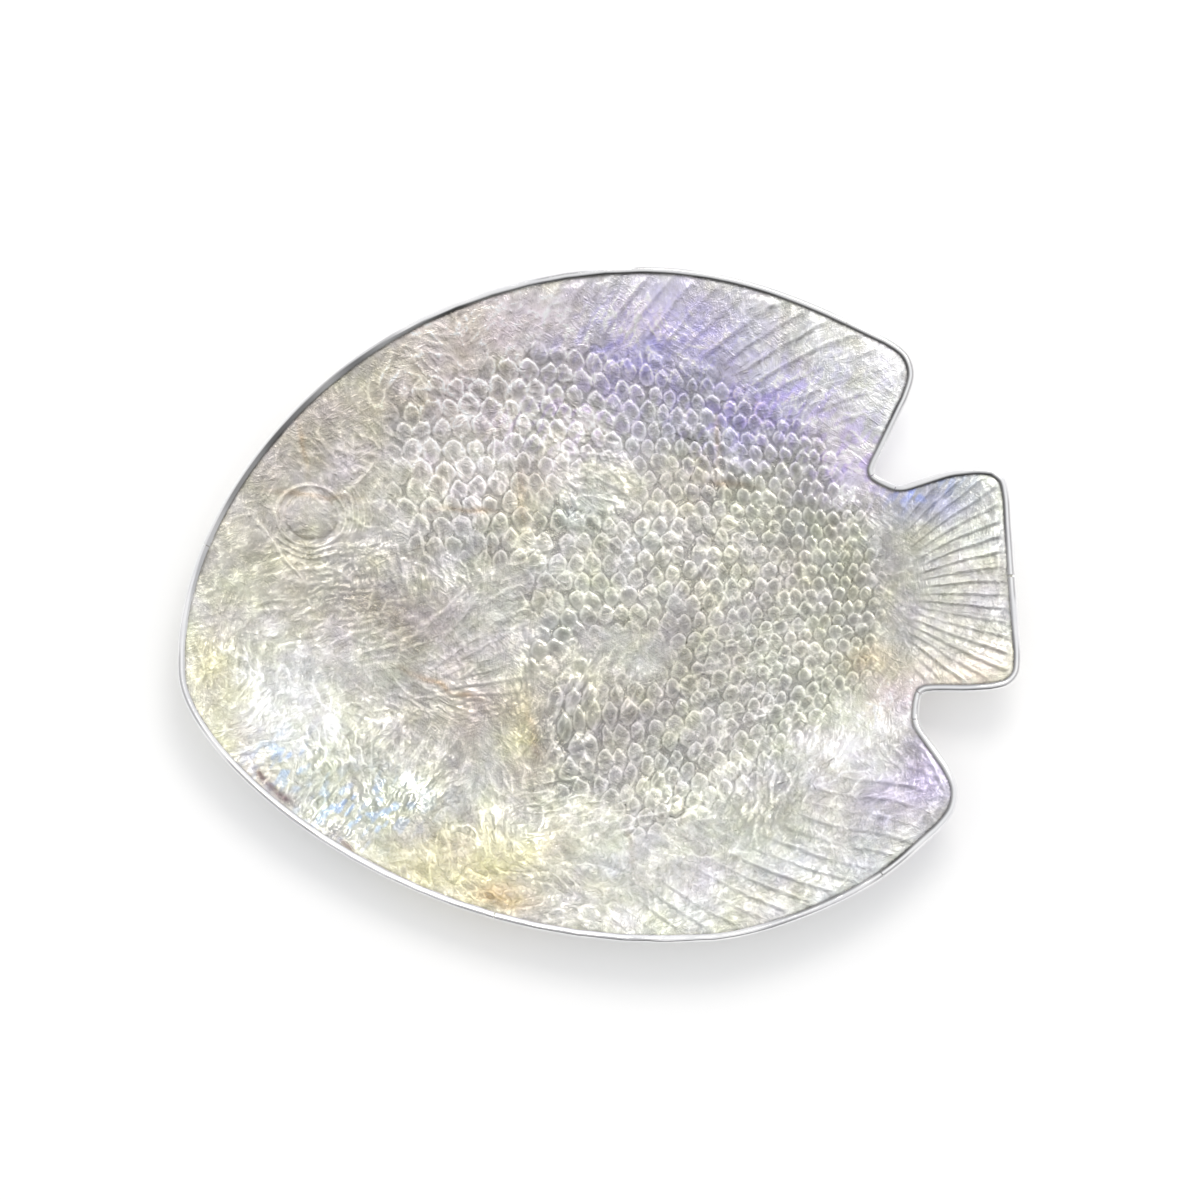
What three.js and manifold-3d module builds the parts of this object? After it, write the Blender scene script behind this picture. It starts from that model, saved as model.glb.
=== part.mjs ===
// Fish-shaped display dish: a face of pressed shell leaves with a fish relief, a resin bond film,
// a back of shell leaves and a thin metal rim in butted strips.
// Millimetres. +X runs from nose to tail, +Y to the dorsal fin, +Z up. The dish stands on z = 0.
import * as THREE from "three";
import { mergeVertices } from "three/addons/utils/BufferGeometryUtils.js";
import Module from "manifold-3d";

const wasm = await Module();
wasm.setup();

// Outline of the shell sheet; a pull is how far a curve keeps the direction of its end
const noseX = -126.2;
const noseY = -12;
const noseUpperPull = 50;
const noseLowerPull = 26;
const backX = 10;
const backY = 102.5;
const backFrontPull = 83;
const backRearPull = 30;
const bellyX = 27;
const bellyY = -102.5;
const bellyFrontPull = 89;
const bellyRearPull = 16;
const upperShoulderX = 82.5;
const upperShoulderY = 80.8;
const upperShoulderPull = 24;
const lowerShoulderX = 86;
const lowerShoulderY = -83;
const lowerShoulderPull = 18;
const dorsalTipX = 104.6;
const dorsalTipY = 67.8;
const analTipX = 106.6;
const analTipY = -67.3;
const upperNotchX = 85.6;
const upperNotchY = 35;
const lowerNotchX = 92.9;
const lowerNotchY = -42.4;
const upperRootX = 94.2;
const upperRootY = 29.2;
const lowerRootX = 95.1;
const lowerRootY = -32;
const tailEndX = 126.2;
const tailLowerEndX = 125;
const tailTopY = 32.4;
const tailBottomY = -33.6;
const tailEdgeBulge = 2.4;
const finTipRound = 12.5;
const notchRound = 3.2;
const tailCornerRound = 8;
const edgeStep = 10;
const cornerSteps = 3;

// Bowl: an oval that is flat in the middle and rises to its lip
const bodyRearX = 114;
const bowlDepth = 20;
const floorShare = 0.5;
const lipShare = 1.12;
const sheetShare = 1.3;
const bowlRings = 8;
const bowlSegments = 36;

// Layers, from the underside up
const backThickness = 0.8;
const filmThickness = 0.4;
const faceThickness = 0.9;
const layerGap = 0.1;
const seamGap = 0.3;
const cutMargin = 5;

// Metal rim: a strip folded over the edge of the sheet
const rimLip = 1.2;
const rimWall = 0.5;
const rimBulge = 0.4;
const rimSeat = 0.3;
const rimJointGap = 0.3;

// Relief of the face
const reliefSink = 0.45;
const reliefValley = 0.25;
const reliefMargin = 0.5;
const eyeX = -83.4;
const eyeY = 35.3;
const eyeRadius = 8;
const eyeOval = 0.88;
const eyeHeight = 2.2;
const eyeRingRadius = 10.4;
const eyeRingHalfWidth = 1.4;
const eyeRingHeight = 1;
const gillX = -61;
const gillY = 4;
const gillRadius = 120;
const gillHalfAngle = 26;
const ridgeHalfWidth = 1.6;
const ridgeHeight = 0.9;
const cheekFrontX = -101;
const cheekFrontY = 31;
const cheekRearX = -87;
const cheekRearY = 13;
const pectoralX = -64;
const pectoralY = -22;
const pectoralLowAngle = -2;
const pectoralHighAngle = 52;
const pectoralRootRadius = 8;
const pectoralTipRadius = 50;
const pectoralRays = 8;
const finRayHeight = 0.8;
const finRootShare = 0.8;
const finEdgeShare = 1.12;
const finSweep = 13;
const dorsalFrontAngle = 104;
const dorsalRearAngle = 37;
const dorsalRays = 18;
const analFrontAngle = 96;
const analRearAngle = 39;
const analRays = 16;
const tailFanX = 76;
const tailFanRadius = 20;
const tailFanHalfAngle = 34;
const tailRays = 13;
const scalePitch = 7;
const scaleTaper = 0.03;
const scaleTaperX = 20;
const scaleStretch = 1.2;
const scaleClear = 4;
const scaleHeight = 0.9;
const scaleLean = 1.1;

// Seams: each leaf is the part of the sheet that lies nearest to its centre
const faceLeaves = {
  face_forehead: [-82, 72],
  face_snout: [-91, 25],
  face_chin: [-97, -28],
  face_throat: [-54, -54],
  face_shoulder: [-42, 49],
  face_cheek: [-40, -4],
  face_nape: [-22, 88],
  face_mid_body: [5, 29],
  face_mid_belly: [-1, -26],
  face_low_belly: [-22, -80],
  face_dorsal_front: [30, 86],
  face_dorsal_rear: [72, 66],
  face_flank: [54, 20],
  face_rear_belly: [48, -34],
  face_anal_fin: [60, -76],
  face_tail: [110, -2],
};
const backLeaves = {
  back_head: [-92, 22],
  back_chin: [-74, -48],
  back_shoulder: [-36, 70],
  back_centre: [-8, 2],
  back_belly: [-4, -72],
  back_dorsal: [42, 76],
  back_flank: [64, 12],
  back_anal: [64, -66],
  back_tail: [118, -4],
};

// Joints between rim strips; each strip is named after its first joint, going clockwise from above
const rimJoints = {
  rim_back: [-115, 27],
  rim_dorsal_tip: [upperShoulderX, upperShoulderY],
  rim_upper_notch: [upperNotchX, upperNotchY],
  rim_tail_upper: [upperRootX, upperRootY],
  rim_tail_lower: [tailEndX, 0],
  rim_lower_notch: [lowerRootX, lowerRootY],
  rim_anal_tip: [lowerNotchX, lowerNotchY],
  rim_belly: [80, -88],
  rim_chin: [-40, -90],
};

const shellColours = ["#dcd6ca", "#cfcbc9", "#e4dfd2", "#c9c4cf", "#d6d0c0"];
const backColour = "#d9d2c2";
const filmColour = "#b8a58a";
const rimColour = "#c9cbce";

const rad = THREE.MathUtils.degToRad;
const bowlX = (noseX + bodyRearX) / 2;
const bowlHalfLength = (bodyRearX - noseX) / 2;
const bowlHalfWidth = (backY - bellyY) / 2;
const bowlY = (backY + bellyY) / 2;
const filmBase = backThickness + layerGap;
const faceBase = filmBase + filmThickness + layerGap;
const sheetThickness = faceBase + faceThickness;
const prismBottom = -cutMargin;
const prismTop = bowlDepth + sheetThickness + eyeHeight + cutMargin;

function riseAt(share) {
  const t = THREE.MathUtils.clamp((share - floorShare) / (lipShare - floorShare), 0, 1);
  return (bowlDepth * (1 - Math.cos(Math.PI * t))) / 2;
}

function bowlHeight(x, y) {
  return riseAt(Math.hypot((x - bowlX) / bowlHalfLength, (y - bowlY) / bowlHalfWidth));
}

function onOval(share, degrees) {
  const x = bowlX + share * bowlHalfLength * Math.cos(rad(degrees));
  const y = bowlY + share * bowlHalfWidth * Math.sin(rad(degrees));
  return new THREE.Vector2(x, y);
}

function solid(geometry) {
  geometry.deleteAttribute("normal");
  geometry.deleteAttribute("uv");
  const merged = mergeVertices(geometry, 1e-4);
  const vertProperties = Float32Array.from(merged.attributes.position.array);
  const triVerts = Uint32Array.from(merged.index.array);
  return new wasm.Manifold(new wasm.Mesh({ numProp: 3, vertProperties, triVerts }));
}

function addPiece(group, name, body, look) {
  const mesh = body.getMesh();
  const geometry = new THREE.BufferGeometry();
  geometry.setAttribute("position", new THREE.BufferAttribute(mesh.vertProperties, 3));
  geometry.setIndex(new THREE.BufferAttribute(mesh.triVerts, 1));
  const piece = new THREE.Mesh(geometry, new THREE.MeshStandardMaterial(look));
  piece.name = name;
  group.add(piece);
}

function prism(points) {
  const shape = new THREE.Shape(points);
  const geometry = new THREE.ExtrudeGeometry(shape, { depth: prismTop - prismBottom, bevelEnabled: false });
  geometry.translate(0, 0, prismBottom);
  return solid(geometry);
}

// Rounds a corner between two neighbours; its size is how far the curve starts from the corner
function roundCorner(path, before, corner, after, size) {
  const start = corner.clone().add(before.clone().sub(corner).setLength(size));
  const end = corner.clone().add(after.clone().sub(corner).setLength(size));
  path.lineTo(start.x, start.y);
  path.quadraticCurveTo(corner.x, corner.y, end.x, end.y);
}

// Edge of the sheet, clockwise seen from above, starting at the nose
function sheetEdge() {
  const at = (x, y) => new THREE.Vector2(x, y);
  const upperShoulder = at(upperShoulderX, upperShoulderY);
  const lowerShoulder = at(lowerShoulderX, lowerShoulderY);
  const dorsalTip = at(dorsalTipX, dorsalTipY);
  const analTip = at(analTipX, analTipY);
  const corners = [
    [upperShoulder, 0],
    [dorsalTip, finTipRound],
    [at(upperNotchX, upperNotchY), notchRound],
    [at(upperRootX, upperRootY), notchRound],
    [at((upperRootX + tailEndX) / 2, tailTopY), tailEdgeBulge],
    [at(tailEndX, tailTopY), tailCornerRound],
    [at(tailLowerEndX, tailBottomY), tailCornerRound],
    [at((lowerRootX + tailLowerEndX) / 2, tailBottomY), tailEdgeBulge],
    [at(lowerRootX, lowerRootY), notchRound],
    [at(lowerNotchX, lowerNotchY), notchRound],
    [analTip, finTipRound],
    [lowerShoulder, 0],
  ];
  const path = new THREE.Path();
  path.moveTo(noseX, noseY);
  path.bezierCurveTo(noseX, noseY + noseUpperPull, backX - backFrontPull, backY, backX, backY);
  const upperLead = upperShoulder.clone().sub(dorsalTip).setLength(upperShoulderPull).add(upperShoulder);
  path.bezierCurveTo(backX + backRearPull, backY, upperLead.x, upperLead.y, upperShoulder.x, upperShoulder.y);
  for (let k = 1; k < corners.length - 1; k += 1) {
    roundCorner(path, corners[k - 1][0], corners[k][0], corners[k + 1][0], corners[k][1]);
  }
  path.lineTo(lowerShoulder.x, lowerShoulder.y);
  const lowerLead = lowerShoulder.clone().sub(analTip).setLength(lowerShoulderPull).add(lowerShoulder);
  path.bezierCurveTo(lowerLead.x, lowerLead.y, bellyX + bellyRearPull, bellyY, bellyX, bellyY);
  path.bezierCurveTo(bellyX - bellyFrontPull, bellyY, noseX, noseY - noseLowerPull, noseX, noseY);
  const points = [];
  for (const curve of path.curves) {
    const corner = curve.type === "QuadraticBezierCurve";
    const steps = corner ? cornerSteps : Math.ceil(curve.getLength() / edgeStep);
    points.push(...curve.getPoints(steps).slice(1));
  }
  return points;
}

// Outward direction at each point of the closed edge, lengthened at corners to keep an even width
function outwardAt(points) {
  const count = points.length;
  return points.map((point, k) => {
    const before = point.clone().sub(points[(k + count - 1) % count]).normalize();
    const after = points[(k + 1) % count].clone().sub(point).normalize();
    const along = before.clone().add(after).normalize();
    const outward = new THREE.Vector2(-along.y, along.x);
    return outward.divideScalar(Math.max(0.5, along.dot(after)));
  });
}

function offsetEdge(points, distance) {
  const outward = outwardAt(points);
  return points.map((point, k) => point.clone().addScaledVector(outward[k], distance));
}

// One layer of the sheet between two heights above the bowl surface
function bowlLayer(base, top) {
  const shares = [0];
  for (let k = 0; k <= bowlRings; k += 1) {
    shares.push(floorShare + ((lipShare - floorShare) * k) / bowlRings);
  }
  shares.push(sheetShare);
  const lower = shares.map((share) => new THREE.Vector2(share, riseAt(share) + base));
  const upper = shares.map((share) => new THREE.Vector2(share, riseAt(share) + top));
  const geometry = new THREE.LatheGeometry([...lower, ...upper.reverse()], bowlSegments);
  geometry.rotateX(Math.PI / 2);
  geometry.scale(bowlHalfLength, bowlHalfWidth, 1);
  geometry.translate(bowlX, bowlY, 0);
  return solid(geometry);
}

// Lays a flat relief form on the face of the dish
function drape(geometry) {
  const position = geometry.attributes.position;
  for (let k = 0; k < position.count; k += 1) {
    const lift = bowlHeight(position.getX(k), position.getY(k)) + sheetThickness;
    position.setZ(k, position.getZ(k) + lift);
  }
  return solid(geometry);
}

// A relief form over a grid of columns and rows; place gives x, y and height for a grid point
function reliefPatch(columns, rows, place) {
  const size = columns * rows;
  const top = [];
  const bottom = [];
  for (let j = 0; j < rows; j += 1) {
    for (let i = 0; i < columns; i += 1) {
      const [x, y, height] = place(i, j);
      top.push(x, y, height);
      bottom.push(x, y, -reliefSink);
    }
  }
  const index = [];
  const quad = (a, b, c, d) => index.push(a, b, c, a, c, d);
  const wall = (a, b) => quad(a + size, b + size, b, a);
  for (let j = 0; j + 1 < rows; j += 1) {
    for (let i = 0; i + 1 < columns; i += 1) {
      const a = j * columns + i;
      quad(a, a + 1, a + columns + 1, a + columns);
      quad(a + size, a + columns + size, a + columns + 1 + size, a + 1 + size);
    }
  }
  for (let i = 0; i + 1 < columns; i += 1) {
    wall(i, i + 1);
    wall(size - 1 - i, size - 2 - i);
  }
  for (let j = 0; j + 1 < rows; j += 1) {
    wall(j * columns + columns - 1, (j + 1) * columns + columns - 1);
    wall((rows - 1 - j) * columns, (rows - 2 - j) * columns);
  }
  const geometry = new THREE.BufferGeometry();
  geometry.setAttribute("position", new THREE.Float32BufferAttribute([...top, ...bottom], 3));
  geometry.setIndex(index);
  return drape(geometry);
}

// Rays between a root line and an edge line, each a function of the share along the fin
function finPatch(rays, stations, rootAt, edgeAt) {
  const columns = 2 * rays + 1;
  return reliefPatch(columns, stations, (i, j) => {
    const root = rootAt(i / (columns - 1));
    const spot = root.lerp(edgeAt(i / (columns - 1)), j / (stations - 1));
    const onRay = i % 2 === 1 && j > 0;
    return [spot.x, spot.y, onRay ? finRayHeight : reliefValley];
  });
}

function fanPoint(x, y, radius, degrees) {
  return new THREE.Vector2(x + radius * Math.cos(rad(degrees)), y + radius * Math.sin(rad(degrees)));
}

// A low ridge along a line given as a function of the share from its start to its end
function ridgePatch(stations, lineAt) {
  return reliefPatch(3, stations, (i, j) => {
    const share = j / (stations - 1);
    const ahead = lineAt(share + 0.01).sub(lineAt(share - 0.01)).normalize();
    const side = (i - 1) * ridgeHalfWidth;
    const spot = lineAt(share);
    const crest = i === 1 && j > 0 && j < stations - 1;
    return [spot.x + ahead.y * side, spot.y - ahead.x * side, crest ? ridgeHeight : -reliefValley];
  });
}

function eyeForm() {
  const inner = eyeRingRadius - eyeRingHalfWidth;
  const outer = eyeRingRadius + eyeRingHalfWidth;
  const profile = [
    [0, -reliefSink],
    [outer, -reliefSink],
    [outer, reliefValley],
    [eyeRingRadius, eyeRingHeight],
    [inner, reliefValley],
    [eyeRadius, reliefValley],
    [eyeRadius * 0.8, eyeHeight * 0.6],
    [eyeRadius * 0.45, eyeHeight * 0.92],
    [0, eyeHeight],
  ];
  const points = profile.map(([radius, height]) => new THREE.Vector2(radius, height));
  const geometry = new THREE.LatheGeometry(points, 16);
  geometry.rotateX(Math.PI / 2);
  geometry.scale(1, eyeOval, 1);
  geometry.translate(eyeX, eyeY, 0);
  return drape(geometry);
}

// Staggered scales on a triangle lattice: every third lattice point is the crown of a scale.
// Behind scaleTaperX the scales shrink towards the tail.
function scaleField() {
  const reach = Math.ceil((2 * bowlHalfLength) / scalePitch);
  const count = 2 * reach + 1;
  const field = reliefPatch(count, count, (i, j) => {
    const q = i - reach;
    const r = j - reach;
    const along = (q - r) / 2;
    const shrink = Math.exp(-scaleTaper * Math.max(along, 0));
    const behind = ((1 - shrink) / scaleTaper) * scalePitch;
    const x = scaleTaperX + (along > 0 ? behind : along * scalePitch);
    const y = (scalePitch * shrink * scaleStretch * (q + r)) / Math.sqrt(12);
    const crown = (q + r) % 3 === 0;
    return [x + (crown ? scaleLean : 0), y, crown ? scaleHeight : reliefValley];
  });
  const besidePectoral = (extra, degrees) =>
    fanPoint(pectoralX, pectoralY, pectoralTipRadius + extra, degrees);
  const border = [
    onOval(0.76, 112),
    onOval(0.78, 86),
    onOval(0.78, 62),
    onOval(0.78, 42),
    onOval(0.8, 24),
    new THREE.Vector2(tailFanX + scaleClear, 0),
    onOval(0.8, -26),
    onOval(0.78, -46),
    onOval(0.78, -68),
    onOval(0.74, -88),
    besidePectoral(1.5 * scaleClear, pectoralLowAngle - 20),
    besidePectoral(scaleClear, pectoralLowAngle),
    besidePectoral(scaleClear, (pectoralLowAngle + pectoralHighAngle) / 2),
    besidePectoral(scaleClear, pectoralHighAngle),
    new THREE.Vector2(gillX + scaleClear, gillY + pectoralTipRadius / 2),
  ];
  return field.intersect(prism(border));
}

function faceRelief() {
  const gillCentreX = gillX - gillRadius;
  const gill = (t) => fanPoint(gillCentreX, gillY, gillRadius, (2 * t - 1) * gillHalfAngle);
  const cheekFront = new THREE.Vector2(cheekFrontX, cheekFrontY);
  const cheekRear = new THREE.Vector2(cheekRearX, cheekRearY);
  const cheek = (t) => cheekFront.clone().lerp(cheekRear, t);
  const between = (from, to, t) => from + (to - from) * t;
  const pectoral = (radius) => (t) =>
    fanPoint(pectoralX, pectoralY, radius, between(pectoralHighAngle, pectoralLowAngle, t));
  const dorsal = (share, sweep) => (t) =>
    onOval(share, between(dorsalFrontAngle, dorsalRearAngle, t) - sweep);
  const anal = (share, sweep) => (t) =>
    onOval(share, sweep - between(analRearAngle, analFrontAngle, t));
  const tailRoot = (t) => fanPoint(tailFanX, 0, tailFanRadius, tailFanHalfAngle * (1 - 2 * t));
  const tailEdge = (t) =>
    new THREE.Vector2(between(tailEndX, tailLowerEndX, t), between(tailTopY, tailBottomY, t));
  const forms = [
    finPatch(dorsalRays, 6, dorsal(finRootShare, 0), dorsal(finEdgeShare, finSweep)),
    finPatch(analRays, 6, anal(finRootShare, 0), anal(finEdgeShare, finSweep)),
    finPatch(tailRays, 6, tailRoot, tailEdge),
    finPatch(pectoralRays, 4, pectoral(pectoralRootRadius), pectoral(pectoralTipRadius)),
    ridgePatch(9, gill),
    ridgePatch(4, cheek),
    eyeForm(),
    scaleField(),
  ];
  return forms.reduce((sum, form) => sum.add(form));
}

// Part of the plane that lies nearer to one centre than to any other, less half a seam
function leafCell(centres, own) {
  const far = 400;
  let cell = [[-far, -far], [far, -far], [far, far], [-far, far]].map(([x, y]) => new THREE.Vector2(x, y));
  for (const other of centres) {
    if (other === own) {
      continue;
    }
    const away = new THREE.Vector2(other[0] - own[0], other[1] - own[1]);
    const limit = away.length() / 2 - seamGap / 2;
    away.normalize();
    const depth = (point) => limit - (point.x - own[0]) * away.x - (point.y - own[1]) * away.y;
    const kept = [];
    cell.forEach((point, k) => {
      const next = cell[(k + 1) % cell.length];
      const here = depth(point);
      const there = depth(next);
      if (here >= 0) {
        kept.push(point);
      }
      if (here * there < 0) {
        kept.push(point.clone().lerp(next, here / (here - there)));
      }
    });
    cell = kept;
  }
  return prism(cell);
}

function addLeaves(group, layer, leaves, look) {
  const centres = Object.values(leaves);
  Object.keys(leaves).forEach((name, k) => {
    addPiece(group, name, layer.intersect(leafCell(centres, centres[k])), look(k));
  });
}

// Section of the rim: distance out from the sheet edge and height above the bowl surface
function rimSection() {
  const top = sheetThickness + rimSeat;
  const wall = rimSeat + rimWall;
  const middle = sheetThickness / 2;
  const half = middle + rimSeat + rimWall;
  const section = [
    [-rimLip, top],
    [rimSeat, top],
    [rimSeat, -rimSeat],
    [-rimLip, -rimSeat],
    [-rimLip, -wall],
  ];
  for (const degrees of [-90, -45, 0, 45, 90]) {
    const out = wall - rimWall + (rimWall + rimBulge) * Math.cos(rad(degrees));
    section.push([out, middle + half * Math.sin(rad(degrees))]);
  }
  section.push([-rimLip, top + rimWall]);
  return section;
}

function rimStrip(points, outward) {
  const section = rimSection();
  const count = section.length;
  const position = [];
  points.forEach((point, k) => {
    for (const [out, height] of section) {
      const spot = point.clone().addScaledVector(outward[k], out);
      position.push(spot.x, spot.y, bowlHeight(spot.x, spot.y) + height);
    }
  });
  const index = [];
  for (let k = 0; k + 1 < points.length; k += 1) {
    for (let i = 0; i < count; i += 1) {
      const a = k * count + i;
      const b = k * count + ((i + 1) % count);
      index.push(a, b + count, a + count, a, b, b + count);
    }
  }
  const outline = section.map(([out, height]) => new THREE.Vector2(out, height));
  const last = (points.length - 1) * count;
  for (const [a, b, c] of THREE.ShapeUtils.triangulateShape(outline, [])) {
    index.push(a, c, b, last + a, last + b, last + c);
  }
  const geometry = new THREE.BufferGeometry();
  geometry.setAttribute("position", new THREE.Float32BufferAttribute(position, 3));
  geometry.setIndex(index);
  return solid(geometry);
}

function addRim(group, edge) {
  const outward = outwardAt(edge);
  const names = Object.keys(rimJoints);
  const starts = Object.values(rimJoints).map(([x, y]) => {
    const joint = new THREE.Vector2(x, y);
    const distances = edge.map((point) => point.distanceTo(joint));
    return distances.indexOf(Math.min(...distances));
  });
  names.forEach((name, k) => {
    const first = starts[k];
    const span = (starts[(k + 1) % names.length] - first + edge.length) % edge.length;
    const stations = Array.from({ length: span + 1 }, (_, i) => (first + i) % edge.length);
    const points = stations.map((i) => edge[i].clone());
    const pull = (end, next) => end.add(next.clone().sub(end).setLength(rimJointGap / 2));
    pull(points[0], points[1]);
    pull(points[span], points[span - 1]);
    const look = { color: rimColour, roughness: 0.15, metalness: 1 };
    addPiece(group, name, rimStrip(points, stations.map((i) => outward[i])), look);
  });
}

const edge = sheetEdge();
const sheetPrism = prism(edge);
const reliefPrism = prism(offsetEdge(edge, -rimLip - reliefMargin));
const face = bowlLayer(faceBase, sheetThickness).add(faceRelief().intersect(reliefPrism));

const group = new THREE.Group();
addLeaves(group, face.intersect(sheetPrism), faceLeaves, (k) => ({
  color: shellColours[k % shellColours.length],
  roughness: 0.25,
  metalness: 0.1,
}));
const film = bowlLayer(filmBase, filmBase + filmThickness).intersect(sheetPrism);
addPiece(group, "bond_film", film, { color: filmColour, roughness: 0.2, metalness: 0 });
addLeaves(group, bowlLayer(0, backThickness).intersect(sheetPrism), backLeaves, () => ({
  color: backColour,
  roughness: 0.3,
  metalness: 0.1,
}));
addRim(group, edge);

export default group;
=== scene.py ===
"""Looks of the fish-shaped display dish: pearl shell leaves, a pressed fish relief and a polished rim."""
import math

import bpy
import numpy as np
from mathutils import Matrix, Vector
from mathutils.geometry import delaunay_2d_cdt


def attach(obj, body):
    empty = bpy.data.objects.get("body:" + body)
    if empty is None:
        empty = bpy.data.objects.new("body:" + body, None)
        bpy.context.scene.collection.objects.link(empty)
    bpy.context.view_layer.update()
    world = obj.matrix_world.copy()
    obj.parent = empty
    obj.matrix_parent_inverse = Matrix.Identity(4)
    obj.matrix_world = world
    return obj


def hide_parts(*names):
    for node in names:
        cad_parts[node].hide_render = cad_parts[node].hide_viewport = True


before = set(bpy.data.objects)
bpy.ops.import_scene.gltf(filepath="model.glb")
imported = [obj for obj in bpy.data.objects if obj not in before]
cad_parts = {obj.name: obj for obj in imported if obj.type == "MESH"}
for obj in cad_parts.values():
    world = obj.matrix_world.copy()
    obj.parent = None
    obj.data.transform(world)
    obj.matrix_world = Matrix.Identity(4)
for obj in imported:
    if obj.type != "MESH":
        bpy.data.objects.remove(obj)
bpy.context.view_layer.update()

# Lengths are in millimetres, and become metres where a mesh is made
MM = 0.001

# Bowl: an oval that is flat in the middle and rises to its lip
BOWL_X = -6.1
BOWL_HALF_LENGTH = 120.1
BOWL_HALF_WIDTH = 102.5
BOWL_DEPTH = 20.0
FLOOR_SHARE = 0.5
LIP_SHARE = 1.12

# Heights of the layers above the bowl surface
BACK_TOP = 0.8
FILM_BASE = 0.9
FILM_TOP = 1.3
FACE_BASE = 1.4
FACE_TOP = 2.3

# Mesh steps and seams
FACE_STEP = 0.43
BACK_STEP = 2.0
INNER_STEP = 5.0
SEAM_GROW = 0.145
SEAM_WANDER = 1.3
EDGE_STEP = 1.0
LEAST_TURN = math.radians(0.6)
STRAIGHT_RUN = 10.5
LEAF_SMOOTH = 65.0
RIM_SMOOTH = 50.0

# Rim section
RIM_LIP = 1.2
RIM_SEAT = 0.3
RIM_OUT = 1.1
RIM_LOW = -0.8
RIM_HIGH = 3.1
RIM_GAP = 0.15
RIM_INSET = 0.05
RIM_DENT = 0.25
CREST_LIMIT = BOWL_DEPTH + RIM_HIGH - 0.05

# Fish relief
EYE_X, EYE_Y = -84.9, 35.3
EYE_RADIUS = 8.0
EYE_OVAL = 0.88
EYE_RING = 10.4
GILL_X, GILL_Y, GILL_RADIUS = -61.0, 4.0, 120.0
PECTORAL_X, PECTORAL_Y = -64.0, -22.0
PECTORAL_ANGLES = (-2.0, 52.0)
PECTORAL_REACH = (8.0, 50.0)
PECTORAL_RAYS = 8
FIN_ROOT_SHARE = 0.8
FIN_EDGE_SHARE = 1.12
DORSAL_ANGLES = (37.0, 104.0)
DORSAL_SWEEP = 9.0
DORSAL_RAYS = 18
ANAL_ANGLES = (39.0, 96.0)
ANAL_SWEEPS = (7.6, 20.0)
ANAL_RAYS = 16
TAIL_X = 76.0
TAIL_ROOT = 20.0
TAIL_HALF_ANGLE = 34.0
TAIL_RAYS = 13
SCALE_PITCH = 6.0
SCALE_TAPER = 0.02
SCALE_TAPER_X = -25.0
SCALE_STRETCH = 1.15
LONG_SCALE_X, LONG_SCALE_Y = -4.0, -38.0
ROW_RATIO = math.sqrt(0.75)
FOLD_STRETCH = 2.4

# Heights of the relief
SCALE_HEIGHT = 0.85
RAY_HEIGHT = 0.7
PECTORAL_HEIGHT = 0.3
CREASE_HEIGHT = 0.45
GILL_HEIGHT = 0.2
EYE_HEIGHT = 1.8
EYE_FOLD_HEIGHT = 0.6
BACK_HEIGHT = 0.12

# Patches without scales: centre and half sizes
BARE_PATCHES = ((3.8, 39.2, 13.0, 8.0), (4.0, -13.5, 19.0, 9.0))

# Folds round the eye: radius and angles in degrees
NEAR_FOLDS = ((12.6, (-48, 44)), (14.2, (-40, 52)), (12.8, (205, 305)), (15.0, (220, 300)))
FAR_FOLDS = ((16.0, (-30, 40)), (18.0, (-24, 30)))

# Wrinkles of the jaw and throat: centre, inner and outer radius, and the seed of their noise
WRINKLES = (((-104.0, -20.0), (12.0, 44.0), 91), ((-62.0, -46.0), (8.0, 40.0), 95))

# How much the painted highlight on crests and the painted shade in hollows lighten and darken the shell,
# and how leaves differ in shade
PAINTED_LIGHT_MIDDLE = 0.18
PAINTED_LIGHT_RANGE = (-0.55, 0.75)
PAINTED_LIGHT_GAIN = 0.8
SHADE_SPREAD = 0.12

# Floor and light: a dome that is brighter towards the back, a bright side and a dark side, and one lamp
FLOOR_GLOW = 0.18
DOME_LEAN = (0.4, 0.68, 0.62)
DOME_RANGE = (-0.3, 1.0)
DOME_LEVELS = (0.75, 1.0)
BRIGHT_SIDE = (0.3, 0.95, 0.0)
SIDE_RANGE = (0.7, 0.95)
SIDE_LEVELS = (0.0, 0.4)
DARK_SIDE = (-0.2, -0.98, 0.0)
DARK_RANGE = (0.66, 0.92)
DARK_LEVELS = (1.0, 0.1)
KEY_PLACE = (0.25, 0.62, 1.1)
KEY_AIM = (0.0, 0.0, 0.0)
KEY_SIZE = (0.5, 0.4)
KEY_WATTS = 3.6
KEY_COLOUR = (1.0, 0.97, 0.91)

# Camera: angle, lens and framing, with the middle of the picture on one point of the rim plane
AZIMUTH = math.radians(-4.2)
ELEVATION = math.radians(82.0)
LENS = 120.0
SENSOR = 36.0
FRAME_WIDTH = 0.3624
AIM = Vector((0.00115, 0.0015, 0.020))


def fade(low, high, value):
    """Smooth step from 0 at low to 1 at high."""
    t = np.clip((value - low) / (high - low), 0.0, 1.0)
    return t * t * (3.0 - 2.0 * t)


def bowl_share(x, y):
    return np.hypot((x - BOWL_X) / BOWL_HALF_LENGTH, y / BOWL_HALF_WIDTH)


def bowl_angle(x, y):
    return np.degrees(np.arctan2(y / BOWL_HALF_WIDTH, (x - BOWL_X) / BOWL_HALF_LENGTH))


def bowl_height(x, y):
    t = np.clip((bowl_share(x, y) - FLOOR_SHARE) / (LIP_SHARE - FLOOR_SHARE), 0.0, 1.0)
    return BOWL_DEPTH * (1.0 - np.cos(np.pi * t)) / 2.0


# Repeatable noise


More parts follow.
